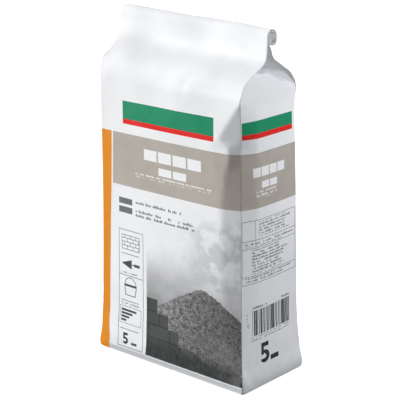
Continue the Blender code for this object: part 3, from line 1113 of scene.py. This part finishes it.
# The far lights: compass direction from +X towards +Y, height, strength, softness and colour, with
# the angles in degrees. The near one at the right: its place, aim, size, power and colour
SUNS = (
    ("key_light", 213, 9, 4.32, 24, (1, 1, 1)),
    ("top_light", 250, 76, 0.46, 50, (1, 1, 1)),
    ("back_light", 115, 35, 1.3, 70, (0.98, 0.99, 1)),
)
SIDE_LIGHT = ((0.47, 0.18, 0.35), (0.09, 0, 0.2), 0.2, 1.36, (0.96, 0.98, 1))

# The screen beside the left side: its place and far end, how much light it lets through, and the near
# end, foot and head of each panel
SCRIM_PLACE = -0.15
SCRIM_END = 0.3
SCRIM_CLEAR = 0.45
SCRIM_PANELS = (("studio_scrim_low", -0.068, 0, 0.27), ("studio_scrim_high", -0.028, 0.27, 0.35))

# The camera, placed by the vertical edges and the bottom of the sack in the photograph
CAMERA_PLACE = Vector((0.7794, -0.8768, 0.5063))
CAMERA_YAW = math.radians(41.54)
CAMERA_PITCH = math.radians(16.7)
CAMERA_ROLL = math.radians(-0.56)
CAMERA_LENS = 120.06


def floor_material():
    """A matt pale floor, a little lit from below like a light table."""
    finish, shader = new_material("pale_studio_floor")
    fill_in(shader, {"Base Color": (0.8, 0.8, 0.8, 1), "Roughness": 0.9,
                     "Emission Color": (1, 1, 1, 1), "Emission Strength": FLOOR_GLOW})
    return finish


def studio_camera():
    """The camera of the photograph."""
    level = math.cos(CAMERA_PITCH)
    ahead = Vector((-math.sin(CAMERA_YAW) * level, math.cos(CAMERA_YAW) * level, -math.sin(CAMERA_PITCH)))
    right = Vector((math.cos(CAMERA_YAW), math.sin(CAMERA_YAW), 0))
    up = right.cross(ahead)
    side = right * math.cos(CAMERA_ROLL) + up * math.sin(CAMERA_ROLL)
    top = up * math.cos(CAMERA_ROLL) - right * math.sin(CAMERA_ROLL)
    turn = Matrix((side, top, -ahead)).transposed().to_4x4()
    lens = bpy.data.cameras.new("studio_camera")
    lens.lens = CAMERA_LENS
    lens.sensor_width = 36
    lens.clip_start = 0.05
    camera = bpy.data.objects.new("studio_camera", lens)
    camera.matrix_world = Matrix.Translation(CAMERA_PLACE) @ turn
    bpy.context.scene.collection.objects.link(camera)
    bpy.context.scene.camera = camera


def new_light(name, kind, power, colour):
    lamp = bpy.data.lights.new(name, kind)
    lamp.energy = power
    lamp.color = colour
    light = bpy.data.objects.new(name, lamp)
    bpy.context.scene.collection.objects.link(light)
    return light


def studio_lights():
    """The far lights, and the near square one."""
    for name, azimuth, height, strength, softness, colour in SUNS:
        sun = new_light(name, "SUN", strength, colour)
        sun.data.angle = math.radians(softness)
        sun.rotation_euler = (math.radians(90 - height), 0, math.radians(azimuth + 90))
    place, aim, size, power, colour = SIDE_LIGHT
    near = new_light("side_light", "AREA", power, colour)
    near.data.shape = "RECTANGLE"
    near.data.size = near.data.size_y = size
    near.location = place
    near.rotation_euler = (Vector(aim) - Vector(place)).to_track_quat("-Z", "Y").to_euler()


def key_scrim():
    """A half-clear screen that takes part of the key light off the left side.

    No camera sees it, and its two panels leave the front wall and the flattened mouth in full light.
    """
    gauze = bpy.data.materials.new("studio_gauze")
    gauze.use_nodes = True
    gauze.node_tree.nodes.remove(gauze.node_tree.nodes["Principled BSDF"])
    clear = new_node(gauze.node_tree, "ShaderNodeBsdfTransparent",
                     Color=(SCRIM_CLEAR, SCRIM_CLEAR, SCRIM_CLEAR, 1))
    output = gauze.node_tree.nodes["Material Output"]
    gauze.node_tree.links.new(clear.outputs["BSDF"], output.inputs["Surface"])
    for name, near_end, low, high in SCRIM_PANELS:
        panel = new_plane(name)
        middle = Vector((SCRIM_PLACE, 0.5 * (near_end + SCRIM_END), 0.5 * (low + high)))
        panel.data.transform(Matrix.Translation(middle) @ Matrix.Rotation(math.radians(90), 4, "Y")
                             @ Matrix.Diagonal((high - low, SCRIM_END - near_end, 1, 1)))
        panel.data.materials.append(gauze)
        panel.visible_camera = False
        panel.visible_diffuse = False
        panel.visible_glossy = False


def studio():
    """A pale floor under a white sky, with a low soft light from the front left, weaker ones from above
    and behind, and a near one at the right.

    The floor throws no light on the sack, which keeps the soft shade that it has in the photograph.
    """
    floor = new_plane("studio_floor", size=FLOOR_SIZE)
    floor.data.materials.append(floor_material())
    floor.visible_diffuse = False
    key_scrim()
    world = bpy.data.worlds.new("studio_sky")
    bpy.context.scene.world = world
    world.use_nodes = True
    sky = world.node_tree.nodes["Background"]
    sky.inputs["Color"].default_value = (1, 1, 1, 1)
    direction = Value(world.node_tree.nodes.new("ShaderNodeTexCoord").outputs["Generated"])
    parts = new_node(world.node_tree, "ShaderNodeSeparateXYZ", Vector=direction)
    connect(Value(parts.outputs["Z"]).ease(*SKY), sky.inputs["Strength"])
    studio_lights()
    bpy.context.scene.view_settings.view_transform = "Standard"


studio_camera()
studio()

sack, heap = paper_sack()
patch = bottom_patch()
for wall_name, wall_print in (("front", front_print), ("side", side_print), ("back", back_print)):
    sack.data.materials.append(paper_material(wall_name, wall_print))
patch.data.materials.append(plain_paper_material())
heap.data.materials.append(powder_material())
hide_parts("paper_sack")
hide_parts("cement_fill")
for piece in (sack, patch, heap):
    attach(piece, "root")
